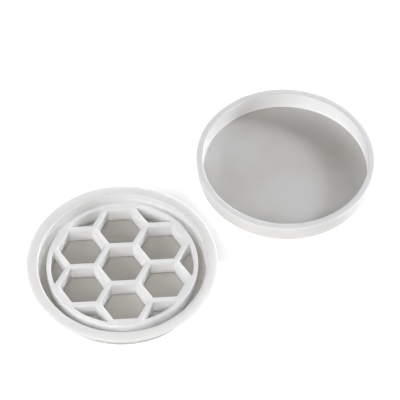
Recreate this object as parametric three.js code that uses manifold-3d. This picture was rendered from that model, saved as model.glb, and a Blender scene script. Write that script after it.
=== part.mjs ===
// Round honeycomb candle mould in millimetres, +Z up: a shallow flanged tray, the honeycomb grid
// that stands in it inside a ring of its own, and a plain round cup beside them.
// The origin is on the table, in the middle of the layout. The front is towards -Y.
import * as THREE from "three";
import { mergeVertices } from "three/addons/utils/BufferGeometryUtils.js";
import Module from "manifold-3d";

const wasm = await Module();
wasm.setup();

// Tray
const trayHeight = 12.8; // table to the top of the flange
const trayBore = 45.5; // radius of the inner wall
const trayWall = 1.5;
const trayFloor = 1.6;
const trayFoot = 3.4; // round under the outer wall
const flangeReach = 4.5; // flange beyond the outer wall
const flangeThickness = 1.7;
const flangeRound = 0.8; // round between the flange and the inner wall
const flangeNook = 0.6; // fillet under the flange

// Grid
const ringClearance = 4.5; // channel between the grid's ring and the tray's wall
const ringWall = 2.45;
const cellWall = 2.9;
const latticeBite = 0.4; // how far the outermost cell walls run into the ring
const latticeTurn = 4; // degrees about the tray's axis
const gridRecess = 1.8; // grid top below the flange top
const seatGap = 0.3; // between the grid and the tray's floor

// Cup
const cupRadius = 50;
const cupHeight = 13.4;
const cupRim = 3.7; // width of the flat rim
const cupDraft = 1; // how much the outer wall draws in on the way down
const cupFloor = 1.6;
const cupFoot = 4.2; // round under the outer wall
const floorFillet = 0.5; // inside corner of both floors

// Layout: the cup stands beside the tray, behind it and to its right.
const pieceGap = 13.1; // clearance between the flange and the cup's rim
const layoutAngle = 38.4; // from +X to the line between the two axes, towards +Y

// Smoothness
const turnSegments = 112;
const arcSteps = 5;
const cutOver = 2; // cutters run past the faces that they cut

const flangeRadius = trayBore + trayWall + flangeReach;
const ringRadius = trayBore - ringClearance;
const ringBore = ringRadius - ringWall;
const cellPitch = (ringBore + latticeBite - cellWall / 2) / 1.5;
const gridBase = trayFloor + seatGap;
const gridHeight = trayHeight - gridRecess - gridBase;

// The middle of the layout's box is the origin.
const axesApart = flangeRadius + cupRadius + pieceGap;
const cupAside = axesApart * Math.cos(THREE.MathUtils.degToRad(layoutAngle));
const cupBehind = axesApart * Math.sin(THREE.MathUtils.degToRad(layoutAngle));
const trayPlace = new THREE.Vector2(
  (flangeRadius - cupRadius - cupAside) / 2,
  (flangeRadius - cupRadius - cupBehind) / 2,
);
const cupPlace = new THREE.Vector2(trayPlace.x + cupAside, trayPlace.y + cupBehind);

const silicone = (color, roughness) =>
  new THREE.MeshStandardMaterial({ color, roughness, metalness: 0 });

const named = (name, geometry, material, x, y, z = 0) => {
  const mesh = new THREE.Mesh(geometry, material);
  mesh.name = name;
  mesh.position.set(x, y, z);
  return mesh;
};

// Points on an arc about (r, z), from one angle to another in degrees.
const arc = (r, z, radius, from, to) =>
  Array.from({ length: arcSteps + 1 }, (_, i) => {
    const angle = THREE.MathUtils.degToRad(from + ((to - from) * i) / arcSteps);
    return new THREE.Vector2(r + radius * Math.cos(angle), z + radius * Math.sin(angle));
  });

// A profile of (radius, height) points that starts and ends on the axis, turned about +Z.
const turned = (profile) => new THREE.LatheGeometry(profile, turnSegments).rotateX(Math.PI / 2);

const point = (r, z) => new THREE.Vector2(r, z);

const trayGeometry = () => {
  const outer = trayBore + trayWall;
  const underFlange = trayHeight - flangeThickness;
  return turned([
    point(0, 0),
    ...arc(outer - trayFoot, trayFoot, trayFoot, -90, 0),
    ...arc(outer + flangeNook, underFlange - flangeNook, flangeNook, 180, 90),
    point(flangeRadius, underFlange),
    point(flangeRadius, trayHeight),
    ...arc(trayBore + flangeRound, trayHeight - flangeRound, flangeRound, 90, 180),
    ...arc(trayBore - floorFillet, trayFloor + floorFillet, floorFillet, 0, -90),
    point(0, trayFloor),
  ]);
};

const cupGeometry = () => {
  const foot = cupRadius - cupDraft;
  const bore = cupRadius - cupRim;
  return turned([
    point(0, 0),
    ...arc(foot - cupFoot, cupFoot, cupFoot, -90, 0),
    point(cupRadius, cupHeight),
    point(bore, cupHeight),
    ...arc(bore - floorFillet, cupFloor + floorFillet, floorFillet, 0, -90),
    point(0, cupFloor),
  ]);
};

// A geometry as a solid that can be cut.
const solid = (geometry) => {
  const bare = geometry.clone();
  bare.deleteAttribute("normal");
  bare.deleteAttribute("uv");
  const merged = mergeVertices(bare, 1e-4);
  const made = new wasm.Mesh({
    numProp: 3,
    vertProperties: merged.attributes.position.array,
    triVerts: new Uint32Array(merged.index.array),
  });
  return new wasm.Manifold(made);
};

const geometryOf = (made) => {
  const { numProp, vertProperties, triVerts } = made.getMesh();
  const positions = new Float32Array((vertProperties.length / numProp) * 3);
  for (let i = 0; i < positions.length / 3; i++)
    for (let k = 0; k < 3; k++) positions[3 * i + k] = vertProperties[numProp * i + k];
  const geometry = new THREE.BufferGeometry();
  geometry.setAttribute("position", new THREE.BufferAttribute(positions, 3));
  geometry.setIndex([...triVerts]);
  geometry.computeVertexNormals();
  return geometry;
};

// An upright prism about (x, y), from one height to another.
const prism = (radius, sides, x, y, from, to) =>
  new THREE.CylinderGeometry(radius, radius, to - from, sides)
    .rotateX(Math.PI / 2)
    .rotateZ(THREE.MathUtils.degToRad(sides === 6 ? 90 + latticeTurn : 0))
    .translate(x, y, (from + to) / 2);

// Centres of the middle cell, the six round it, and the six whose inner corners the ring cuts off.
const cellCentres = () => {
  const round = (distance, first) =>
    Array.from({ length: 6 }, (_, i) => {
      const angle = THREE.MathUtils.degToRad(first + latticeTurn + 60 * i);
      return point(distance * Math.cos(angle), distance * Math.sin(angle));
    });
  return {
    whole: [point(0, 0), ...round(cellPitch, 30)],
    part: round(cellPitch * Math.sqrt(3), 0),
  };
};

const gridGeometry = () => {
  const cell = ({ x, y }) =>
    solid(prism((cellPitch - cellWall) / Math.sqrt(3), 6, x, y, -cutOver, gridHeight + cutOver));
  const inRing = solid(prism(ringBore, turnSegments, 0, 0, -cutOver, gridHeight + cutOver));
  const { whole, part } = cellCentres();
  let grid = solid(prism(ringRadius, turnSegments, 0, 0, 0, gridHeight));
  for (const centre of whole) grid = grid.subtract(cell(centre));
  for (const centre of part) grid = grid.subtract(cell(centre).intersect(inRing));
  return geometryOf(grid);
};

const group = new THREE.Group();
group.add(
  named("flanged_tray", trayGeometry(), silicone(0xdddddb, 0.5), trayPlace.x, trayPlace.y),
  named("honeycomb_grid", gridGeometry(), silicone(0xe6e5e2, 0.5), trayPlace.x, trayPlace.y, gridBase),
  named("round_cup", cupGeometry(), silicone(0xe0e0df, 0.5), cupPlace.x, cupPlace.y),
);

export default group;
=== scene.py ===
import math

import bpy
import numpy as np
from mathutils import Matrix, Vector
from mathutils.geometry import delaunay_2d_cdt


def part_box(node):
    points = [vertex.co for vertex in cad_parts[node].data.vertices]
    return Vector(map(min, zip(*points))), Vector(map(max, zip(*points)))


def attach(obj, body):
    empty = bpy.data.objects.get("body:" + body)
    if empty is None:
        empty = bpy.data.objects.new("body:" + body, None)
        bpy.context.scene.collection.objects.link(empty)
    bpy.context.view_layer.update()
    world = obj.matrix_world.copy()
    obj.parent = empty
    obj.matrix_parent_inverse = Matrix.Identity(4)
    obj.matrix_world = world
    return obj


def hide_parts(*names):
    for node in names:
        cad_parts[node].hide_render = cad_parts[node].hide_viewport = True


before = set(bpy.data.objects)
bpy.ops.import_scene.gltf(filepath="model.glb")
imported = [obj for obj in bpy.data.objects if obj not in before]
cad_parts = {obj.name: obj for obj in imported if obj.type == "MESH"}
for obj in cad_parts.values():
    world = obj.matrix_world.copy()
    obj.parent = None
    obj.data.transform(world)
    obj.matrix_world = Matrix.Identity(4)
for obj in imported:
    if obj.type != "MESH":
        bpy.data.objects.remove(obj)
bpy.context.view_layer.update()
mm = 0.001
print("frame loaded")


# Centre and outer radius of a round node, from its box.
def roundPlace(node):
    low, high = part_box(node)
    return np.array([(low[0] + high[0]) / 2, (low[1] + high[1]) / 2]), (high[0] - low[0]) / 2


# Points on an arc: centre plus radius times (cos, sin) of angles from start to end, in degrees.
def arcPoints(centre, radius, start, end, steps):
    angle = np.radians(np.linspace(start, end, steps + 1))
    return np.stack([centre[0] + radius * np.cos(angle), centre[1] + radius * np.sin(angle)], 1)


# An outline with each corner (x, y, round) replaced by an arc that touches both its sides. The arc's
# ends lie round * tan(half the turn) from the corner, and its middle is on the corner's bisector.
def roundedProfile(corners, steps):
    points = np.array([c[:2] for c in corners], float)
    parts = [points[:1]]
    for before, here, after, radius in zip(points, points[1:], points[2:], [c[2] for c in corners[1:-1]]):
        toward, away = (before - here), (after - here)
        toward, away = toward / np.hypot(*toward), away / np.hypot(*away)
        half = math.acos(np.clip(toward @ away, -1, 1)) / 2
        bisector = (toward + away) / np.hypot(*(toward + away))
        middle = here + bisector * radius / math.sin(half)
        first, last = here + toward * radius / math.tan(half), here + away * radius / math.tan(half)
        t = np.linspace(0, 1, steps + 1)[:, None]
        spread = math.pi - 2 * half
        blend = (np.sin((1 - t) * spread) * (first - middle) + np.sin(t * spread) * (last - middle))
        parts.append(middle + blend / math.sin(spread))
    parts.append(points[-1:])
    return np.concatenate(parts)


# Adds points along the long straight runs of a profile, none further apart than reach.
def fillRuns(profile, reach):
    parts = []
    for a, b in zip(profile, profile[1:]):
        count = max(1, int(np.ceil(np.hypot(*(b - a)) / reach)))
        parts.append(a + (b - a) * np.linspace(0, 1, count, endpoint=False)[:, None])
    return np.concatenate([*parts, profile[-1:]])


# Quads between neighbouring rows of a grid of points, closed round in the column direction.
def ringQuads(rows, columns, first=0):
    row, column = np.meshgrid(np.arange(rows - 1), np.arange(columns), indexing="ij")
    a = first + row * columns + column
    b = first + row * columns + (column + 1) % columns
    return np.stack([a, b, b + columns, a + columns], -1).reshape(-1, 4)


def meshObject(name, points, faces):
    mesh = bpy.data.meshes.new(name)
    mesh.from_pydata(points.tolist(), [], faces)
    mesh.update()
    piece = bpy.data.objects.new(name, mesh)
    bpy.context.scene.collection.objects.link(piece)
    return piece


# A profile of (radius, height) points turned about an upright axis: at angle a the point is
# (centre + radius (cos a, sin a), height). The two ends lie on the axis and close as poles.
def turnedPiece(name, profile, centre, segments):
    angle = np.linspace(0, 2 * math.pi, segments, endpoint=False)
    radius, height = profile[1:-1, 0, None], profile[1:-1, 1, None]
    rings = np.stack([centre[0] + radius * np.cos(angle), centre[1] + radius * np.sin(angle),
                      np.broadcast_to(height, (len(radius), segments))], -1).reshape(-1, 3)
    poles = np.array([[*centre, profile[0, 1]], [*centre, profile[-1, 1]]])
    bottom, top = len(rings), len(rings) + 1
    here = np.arange(segments)
    after = (here + 1) % segments
    last = (len(radius) - 1) * segments
    faces = ringQuads(len(radius), segments).tolist()
    faces += np.stack([np.full(segments, bottom), after, here], 1).tolist()
    faces += np.stack([np.full(segments, top), last + here, last + after], 1).tolist()
    piece = meshObject(name, np.concatenate([rings, poles]), faces)
    shadeSmooth(piece)
    return piece


def shadeSmooth(piece):
    piece.data.polygons.foreach_set("use_smooth", np.ones(len(piece.data.polygons), bool))
    weighted = piece.modifiers.new("flat faces stay flat", "WEIGHTED_NORMAL")
    weighted.keep_sharp = True


# An output socket. Sums on it add Math nodes.
class Wire:
    def __init__(self, paint, socket):
        self.paint, self.socket = paint, socket

    def math(self, operation, *values):
        return self.paint.node("ShaderNodeMath", {"operation": operation}, dict(enumerate(values)))

    def __add__(self, other): return self.math("ADD", self, other)
    def __radd__(self, other): return self.math("ADD", other, self)
    def __sub__(self, other): return self.math("SUBTRACT", self, other)
    def __rsub__(self, other): return self.math("SUBTRACT", other, self)
    def __mul__(self, other): return self.math("MULTIPLY", self, other)
    def __rmul__(self, other): return self.math("MULTIPLY", other, self)

    def root(self):
        return self.math("SQRT", self)


# One material. node() adds any node: its settings first, then values or wires on its sockets.
class Paint:
    def __init__(self, name):
        self.material = bpy.data.materials.new(name)
        self.material.use_nodes = True
        self.tree = self.material.node_tree
        self.tree.nodes.clear()

    def node(self, kind, settings={}, sockets={}, out=0):
        made = self.tree.nodes.new(kind)
        for key, value in settings.items():
            setattr(made, key, value)
        for key, value in sockets.items():
            if isinstance(value, Wire):
                self.tree.links.new(value.socket, made.inputs[key])
            else:
                made.inputs[key].default_value = value
        return Wire(self, made.outputs[out]) if made.outputs else None

    # 0 where value is at one end, 1 at the other, eased between
    def ease(self, value, zeroAt, oneAt):
        return self.node("ShaderNodeMapRange", {"interpolation_type": "SMOOTHSTEP", "clamp": True},
                         {"Value": value, "From Min": zeroAt, "From Max": oneAt})

    # the same, with its ends at two of the silicone's depths below or beyond a level
    def easeBelow(self, value, level, depths):
        return self.ease(value, *(level - depth for depth in silicone[depths]))

    def easeBeyond(self, value, level, depths):
        return self.ease(value, *(level + depth for depth in silicone[depths]))

    def noise(self, place, perMetre, detail):
        return self.node("ShaderNodeTexNoise", {"noise_dimensions": "3D"},
                         {"Vector": place, "Scale": perMetre, "Detail": detail})

    def mixColours(self, factor, first, second):
        return self.node("ShaderNodeMix", {"data_type": "RGBA"}, {0: factor, 6: first, 7: second}, out=2)


# The finish that all three pieces share. The depths say where a tone begins and where it is full.
silicone = {
    "wallRough": 0.46, "floorRough": 0.3, "roughSpread": 0.12,
    "cloudPerMetre": 24.0, "flowPerMetre": 90.0, "grainPerMetre": 2400.0,
    "cloudDetail": 2.0, "flowDetail": 4.0, "grainDetail": 3.0,
    "wallCloud": (0.3, 0.7), "floorCloud": (0.35, 0.65),    # from the warm tone to the cool one
    "grainStrength": 0.25, "grainDepth": 0.05 * mm, "grainLostOnFloor": 0.6,
    "glow": 1.0, "glowTint": (1.0, 0.98, 0.94), "refraction": 1.41,
    "rimDepth": (0.4 * mm, 0.05 * mm),     # below the top
    "innerDepth": (0.6 * mm, 0.2 * mm),    # beyond the bore
    "outerDepth": (0.9 * mm, 1.3 * mm),    # beyond the bore
    "underDepth": (-0.2 * mm, 0.2 * mm),   # below the flange or the rim
    "floorRise": (0.5 * mm, 0.1 * mm),     # above the floor
    "floorShare": (0.5, 0.8),              # of the floor's thickness, from the table
    "floorSpill": (0.4 * mm, 0.1 * mm),    # beyond the bore
}


# Moulded silicone, satin on the walls. Parts of a piece differ in tone, and much of that is painted light
# and
# shade: the inner wall is the palest as painted light, the rim's top and the outer wall are darker as
# painted shade, and the floor, the smoothest, is the greyest, partly a greyer floor and partly painted
# shade, most of all in the tray's deep cells and channel. Each piece's wall tone differs too: paler on the
# lattice as painted light, darker on the tray as painted shade on the flange's edge. The tones were matched
# under the studio lights below and are no measured colour. Cloudy tone, flow marks in the gloss and a fine
# grain lie over all of it.
# A solid piece gives no bore, and then has only the wall's tone and the rim's painted shade.
def siliconeFinish(name, look, centre, top, bore=None, floorTop=None, under=None):
    paint = Paint(name)
    place = paint.node("ShaderNodeTexCoord", out="Object")
    local = paint.node("ShaderNodeMapping", {}, {"Vector": place, "Location": (-centre[0], -centre[1], 0)})
    x, y, z = (paint.node("ShaderNodeSeparateXYZ", {}, {0: local}, out=i) for i in range(3))
    cloud = paint.noise(local, silicone["cloudPerMetre"], silicone["cloudDetail"])
    flow = paint.noise(local, silicone["flowPerMetre"], silicone["flowDetail"])
    grain = paint.noise(local, silicone["grainPerMetre"], silicone["grainDetail"])
    colour = paint.mixColours(paint.ease(cloud, *silicone["wallCloud"]), look["wallWarm"], look["wallCool"])
    rough = silicone["wallRough"] + (flow - 0.5) * silicone["roughSpread"]
    height = grain
    # Painted shade: the top faces get a darker tone than the walls.
    rim = paint.easeBelow(z, top, "rimDepth")
    if bore:
        radius = (x * x + y * y).root()
        # Painted light: the inner wall gets the palest tone.
        inner = paint.easeBeyond(radius, bore, "innerDepth") * (1 - rim)
        # Painted shade: the outer wall, below the flange or the rim, gets a darker tone.
        outer = paint.easeBelow(z, under, "underDepth") * paint.easeBeyond(radius, bore, "outerDepth")
        # The floor's tone: a greyer floor, darkened further as painted shade.
        lowest, full = (floorTop * share for share in silicone["floorShare"])
        floor = (paint.easeBeyond(z, floorTop, "floorRise") * paint.ease(z, lowest, full)
                 * paint.easeBeyond(radius, bore, "floorSpill"))
        cloudy = paint.ease(cloud, *silicone["floorCloud"])
        base = paint.mixColours(cloudy, look["floorGreyAndShadeWarm"], look["floorGreyAndShadeCool"])
        colour = paint.mixColours(inner, colour, look["innerLitColour"])
        colour = paint.mixColours(outer, colour, look["outerShadeColour"])
        colour = paint.mixColours(floor, colour, base)
        rough = rough + floor * (silicone["floorRough"] - silicone["wallRough"])
        height = grain * (1 - silicone["grainLostOnFloor"] * floor)
    colour = paint.mixColours(rim, colour, look["rimShadeColour"])
    bump = paint.node("ShaderNodeBump", {}, {"Height": height, "Strength": silicone["grainStrength"],
                                             "Distance": silicone["grainDepth"]})
    shader = paint.node("ShaderNodeBsdfPrincipled", {"subsurface_method": "RANDOM_WALK"}, {
        "Base Color": colour, "Roughness": rough, "Normal": bump, "IOR": silicone["refraction"],
        "Subsurface Weight": silicone["glow"], "Subsurface Radius": silicone["glowTint"],
        "Subsurface Scale": look["glowDepth"]})
    paint.node("ShaderNodeOutputMaterial", {}, {"Surface": shader})
    return paint.material


def dress(piece, material):
    piece.data.materials.clear()
    piece.data.materials.append(material)


tray = {
    "wall": 1.5 * mm, "floor": 1.6 * mm, "footRound": 3.4 * mm,
    "flangeReach": 4.5 * mm, "flangeThickness": 1.7 * mm, "flangeEdge": 0.25 * mm,
    "underFlange": 0.6 * mm, "mouthRound": 0.8 * mm, "floorFillet": 0.45 * mm,
    "segments": 288, "roundSteps": 8, "longestRun": 4 * mm,
    # The tray's wall tone is darker than the other pieces' as painted shade on the flange's outer edge.
    "wallWarm": (0.5, 0.497, 0.488, 1), "wallCool": (0.52, 0.518, 0.512, 1),
    # floor tone: a greyer floor, made darker here as painted shade in the deep cells and the channel
    "floorGreyAndShadeWarm": (0.29, 0.285, 0.272, 1), "floorGreyAndShadeCool": (0.31, 0.307, 0.3, 1),
    # inner tone: painted light on the inner wall
    # rim tone: painted shade on the top faces
    "rimShadeColour": (0.65, 0.649, 0.645, 1), "innerLitColour": (0.97, 0.967, 0.96, 1),
    # outer tone: painted shade on the outer wall under the flange
    "outerShadeColour": (0.42, 0.415, 0.405, 1), "glowDepth": 7.5 * mm,
}


def makeTray():
    centre, reach = roundPlace("flanged_tray")
    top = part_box("flanged_tray")[1][2]
    outer = reach - tray["flangeReach"]
    bore = outer - tray["wall"]
    under = top - tray["flangeThickness"]
    profile = roundedProfile([
        (0, 0), (outer, 0, tray["footRound"]), (outer, under, tray["underFlange"]),
        (reach, under, tray["flangeEdge"]), (reach, top, tray["flangeEdge"]),
        (bore, top, tray["mouthRound"]), (bore, tray["floor"], tray["floorFillet"]), (0, tray["floor"]),
    ], tray["roundSteps"])
    piece = turnedPiece("tray_shell", fillRuns(profile, tray["longestRun"]), centre, tray["segments"])
    dress(piece, siliconeFinish("tray silicone", tray, centre, top, bore, tray["floor"], under))
    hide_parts("flanged_tray")
    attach(piece, "tray")


makeTray()
print("tray made")


grid = {
    "ringWall": 2.45 * mm, "cellWall": 2.9 * mm, "wallsIntoRing": 0.4 * mm, "turn": 4.0,
    "cornerRound": 0.4 * mm, "topRound": 0.35 * mm, "bottomRound": 0.12 * mm, "seat": 0.02 * mm,
    "circleSteps": 288, "cornerSteps": 6, "roundSteps": 6, "footSteps": 3,
    "samePlace": 0.001 * mm,    # points nearer than this are one
    # The lattice's wall tone is paler than the other pieces' as painted light on its thin, translucent
    # walls.
    "wallWarm": (0.875, 0.871, 0.86, 1), "wallCool": (0.89, 0.888, 0.883, 1),
    # rim tone: painted shade on the lattice's top
    "rimShadeColour": (0.785, 0.783, 0.778, 1), "glowDepth": 4.5 * mm,
}


# A convex closed outline as points and outward normals, from arcs (centre, radius, first and last
# normal angle in degrees, steps). Straight sides run from each arc's end to the next one's start, and
# a point that falls on the one before it is left out.
def outlineOf(arcs):
    angle = np.radians(np.concatenate([np.linspace(a[2], a[3], a[4] + 1) for a in arcs]))
    centre = np.concatenate([np.tile(a[0], (a[4] + 1, 1)) for a in arcs])
    radius = np.concatenate([np.full(a[4] + 1, a[1]) for a in arcs])[:, None]
    normal = np.stack([np.cos(angle), np.sin(angle)], 1)
    points = centre + radius * normal
    apart = np.hypot(*(points - np.roll(points, 1, 0)).T) > grid["samePlace"]
    return points[apart], normal[apart]


def polar(distance, degrees):
    return distance * np.array([math.cos(math.radians(degrees)), math.sin(math.radians(degrees))])


# A whole cell: six corner arcs on a hexagon whose flats lie apothem from the centre.
def wholeCell(centre, apothem):
    out = (apothem - grid["cornerRound"]) / math.cos(math.pi / 6)
    return outlineOf([(centre + polar(out, grid["turn"] + 60 * k), grid["cornerRound"],
                       grid["turn"] + 60 * k - 30, grid["turn"] + 60 * k + 30, grid["cornerSteps"])
                      for k in range(6)])


# A part cell that points out at the given angle: two cell walls that meet at 120 degrees, closed by
# the ring's bore. Each end corner's centre lies where the walls' inner offset meets the circle of
# radius bore less the corner's round.
def partCell(facing, pitch, apothem, bore):
    rounding = grid["cornerRound"]
    tip = math.sqrt(3) * pitch - (apothem - rounding) / math.cos(math.pi / 6)
    run = (math.sqrt(4 * (bore - rounding) ** 2 - 3 * tip ** 2) - tip) / 2
    end = np.array([tip + run / 2, run * math.sqrt(3) / 2])
    spread = math.degrees(math.atan2(end[1], end[0]))
    length = math.hypot(*end)
    steps = grid["cornerSteps"]
    return outlineOf([
        (polar(tip, facing), rounding, facing + 150, facing + 210, steps),
        (polar(length, facing - spread), rounding, facing + 210, facing + 360 - spread, 2 * steps),
        (np.zeros(2), bore, facing + 360 - spread, facing + 360 + spread, 6 * steps),
        (polar(length, facing + spread), rounding, facing + 360 + spread, facing + 510, 2 * steps),
    ])


# A wall round an outline: each height profile point (inset, height) moves the outline along its
# normal by inset. side is 1 for an opening, whose wall faces inwards, and -1 for the outside.
def wallRound(outline, normal, profile, side):
    inset, height = profile[:, 0, None, None], profile[:, 1, None]
    flat = outline + side * inset * normal
    points = np.concatenate([flat, np.broadcast_to(height[..., None], (*flat.shape[:2], 1))], -1)
    quads = ringQuads(len(profile), len(outline))
    return points.reshape(-1, 3), quads[:, ::-1] if side == 1 else quads


def makeGrid():
    centre, radius = roundPlace("honeycomb_grid")
    bottom, top = tray["floor"] + grid["seat"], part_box("honeycomb_grid")[1][2]
    bore = radius - grid["ringWall"]
    pitch = (bore + grid["wallsIntoRing"] - grid["cellWall"] / 2) / 1.5
    apothem = (pitch - grid["cellWall"]) / 2
    edge, foot, steps = grid["topRound"], grid["bottomRound"], grid["roundSteps"]
    profile = np.concatenate([
        arcPoints((foot, bottom + foot), foot, 270, 180, grid["footSteps"]),
        arcPoints((edge, top - edge), edge, 180, 90, steps),
    ])
    spots = [np.zeros(2)] + [polar(pitch, grid["turn"] + 30 + 60 * k) for k in range(6)]
    openings = [wholeCell(spot, apothem) for spot in spots]
    openings += [partCell(grid["turn"] + 60 * k, pitch, apothem, bore) for k in range(6)]
    turns = grid["circleSteps"]
    outside = outlineOf([(np.zeros(2), radius, 0, 360 * (1 - 1 / turns), turns - 1)])
    rims = [(*outside, -1), *((*opening, 1) for opening in openings)]
    points, faces, lowest, highest, count = [], [], [], [], 0
    for outline, normal, side in rims:
        made, quads = wallRound(outline, normal, profile, side)
        points.append(made)
        faces += (quads + count).tolist()
        lowest.append(count + np.arange(len(outline)))
        count += len(made)
        highest.append(count - len(outline) + np.arange(len(outline)))
    points = np.concatenate(points)
    topRims = [points[ring][:, :2] for ring in highest]
    bottomRims = [points[ring][:, :2] for ring in lowest]
    faces += np.concatenate(highest)[flatBetween(topRims)].tolist()
    faces += np.concatenate(lowest)[flatBetween(bottomRims)[:, ::-1]].tolist()
    piece = meshObject("grid_lattice", points + [*centre, 0], faces)
    shadeSmooth(piece)
    dress(piece, siliconeFinish("grid silicone", grid, centre, top))
    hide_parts("honeycomb_grid")
    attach(piece, "grid")


# Triangles over the flat between the outside, which comes first, and the openings. Every outline is
# convex, so a point is inside one when it lies on the left of all its sides.
def flatBetween(loops):
    starts = np.cumsum([0] + [len(loop) for loop in loops])
    rings = [first + np.arange(len(loop)) for first, loop in zip(starts, loops)]
    edges = np.concatenate([np.stack([ring, np.roll(ring, -1)], 1) for ring in rings]).tolist()
    corners = list(map(Vector, np.concatenate(loops)))
    found, _, triangles, origin, *_ = delaunay_2d_cdt(corners, edges, [], 0, 1e-9)
    triangles = np.array(triangles)
    middle = np.array([tuple(p) for p in found])[triangles].mean(1)
    keep = insideOf(loops[0], middle)
    for opening in loops[1:]:
        keep &= ~insideOf(opening, middle)
    return np.array([first[0] for first in origin])[triangles[keep]]


def insideOf(outline, points):
    side = np.roll(outline, -1, 0) - outline
    offset = points[:, None] - outline[None]
    return (side[:, 0] * offset[..., 1] - side[:, 1] * offset[..., 0] > 0).all(1)


makeGrid()
print("grid made")


cup = {
    "rim": 3.7 * mm, "floor": 1.6 * mm, "draft": 1.0 * mm, "footRound": 4.2 * mm,
    "rimOuterRound": 0.3 * mm, "rimInnerRound": 0.35 * mm, "rimFace": 0.5 * mm, "floorFillet": 0.45 * mm,
    "segments": 288, "roundSteps": 8, "longestRun": 4 * mm,
    "wallWarm": (0.77, 0.766, 0.755, 1), "wallCool": (0.79, 0.789, 0.787, 1),
    # floor tone: a greyer floor, partly painted shade
    "floorGreyAndShadeWarm": (0.495, 0.49, 0.475, 1), "floorGreyAndShadeCool": (0.525, 0.525, 0.525, 1),
    # inner tone: painted light on the inner wall
    # rim tone: painted shade on the rim's top
    "rimShadeColour": (0.69, 0.69, 0.69, 1), "innerLitColour": (0.93, 0.928, 0.922, 1),
    # outer tone: painted shade on the outer wall
    "outerShadeColour": (0.68, 0.675, 0.665, 1), "glowDepth": 3.0 * mm,
}


def makeCup():
    centre, rimRadius = roundPlace("round_cup")
    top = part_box("round_cup")[1][2]
    foot, bore = rimRadius - cup["draft"], rimRadius - cup["rim"]
    profile = roundedProfile([
        (0, 0), (foot, 0, cup["footRound"]), (rimRadius, top, cup["rimOuterRound"]),
        (bore, top, cup["rimInnerRound"]), (bore, cup["floor"], cup["floorFillet"]), (0, cup["floor"]),
    ], cup["roundSteps"])
    piece = turnedPiece("cup_shell", fillRuns(profile, cup["longestRun"]), centre, cup["segments"])
    dress(piece, siliconeFinish("cup silicone", cup, centre, top, bore, cup["floor"], top - cup["rimFace"]))
    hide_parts("round_cup")
    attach(piece, "cup")


makeCup()
print("cup made")


studio = {
    "floorReach": 6.0, "floorDrop": 0.02 * mm, "floorColour": (0.8, 0.8, 0.8, 1), "floorRough": 0.9,
    "floorGlow": 0.62, "world": (0.9, 0.93, 1.0, 1), "worldStrength": 0.02, "lightDistance": 1.6,
}

# azimuth counts from the front, -Y, towards +X; size in metres
lights = {
    "front": {"azimuth": -16, "elevation": 48, "size": 0.9, "watts": 12.5,
              "colour": (1.0, 0.96, 0.92)},
    "left": {"azimuth": -60, "elevation": 26, "size": 0.8, "watts": 11,
             "colour": (0.93, 0.955, 1.0)},
    "behind": {"azimuth": 116, "elevation": 22, "size": 0.3, "watts": 22,
               "colour": (0.95, 0.97, 1.0)},
    "back": {"azimuth": 150, "elevation": 25, "size": 0.4, "watts": 8,
             "colour": (0.94, 0.96, 1.0)},
}


def direction(azimuth, elevation):
    a, e = math.radians(azimuth), math.radians(elevation)
    return Vector((math.sin(a) * math.cos(e), -math.cos(a) * math.cos(e), math.sin(e)))


def makeLight(name, light):
    data = bpy.data.lights.new(name, "AREA")
    data.shape, data.size, data.energy = "DISK", light["size"], light["watts"]
    data.color = light["colour"]
    lamp = bpy.data.objects.new(name, data)
    toward = direction(light["azimuth"], light["elevation"])
    lamp.location = toward * studio["lightDistance"]
    lamp.rotation_euler = toward.to_track_quat("Z", "Y").to_euler()
    lamp.visible_camera = False
    bpy.context.scene.collection.objects.link(lamp)


def makeStudio():
    reach = studio["floorReach"]
    corners = np.array([[-reach, -reach, 0], [reach, -reach, 0], [reach, reach, 0], [-reach, reach, 0]])
    ground = meshObject("studio floor", corners - [0, 0, studio["floorDrop"]], [[0, 1, 2, 3]])
    paint = Paint("studio white")
    shader = paint.node("ShaderNodeBsdfPrincipled", {}, {
        "Base Color": studio["floorColour"], "Roughness": studio["floorRough"], "Specular IOR Level": 0.0,
        "Emission Color": (1, 1, 1, 1), "Emission Strength": studio["floorGlow"]})
    paint.node("ShaderNodeOutputMaterial", {}, {"Surface": shader})
    dress(ground, paint.material)
    world = bpy.data.worlds.new("studio air")
    world.use_nodes = True
    sky = world.node_tree.nodes["Background"]
    sky.inputs["Color"].default_value = studio["world"]
    sky.inputs["Strength"].default_value = studio["worldStrength"]
    bpy.context.scene.world = world
    for name, light in lights.items():
        makeLight(name, light)
    bpy.context.scene.view_settings.view_transform = "Standard"


makeStudio()
print("studio made")


camera = {
    "elevation": 52.7, "distance": 1.208, "lens": 194.7, "sensor": 36.0,
    "aim": (-2.2 * mm, 16.5 * mm, 0.0), "nearest": 0.05, "furthest": 50.0,
}


def makeCamera():
    data = bpy.data.cameras.new("view")
    data.lens, data.sensor_width = camera["lens"], camera["sensor"]
    data.clip_start, data.clip_end = camera["nearest"], camera["furthest"]
    eye = bpy.data.objects.new("view", data)
    toward = direction(0, camera["elevation"])
    eye.location = Vector(camera["aim"]) + toward * camera["distance"]
    eye.rotation_euler = toward.to_track_quat("Z", "Y").to_euler()
    bpy.context.scene.collection.objects.link(eye)
    bpy.context.scene.camera = eye


makeCamera()
print("camera set")
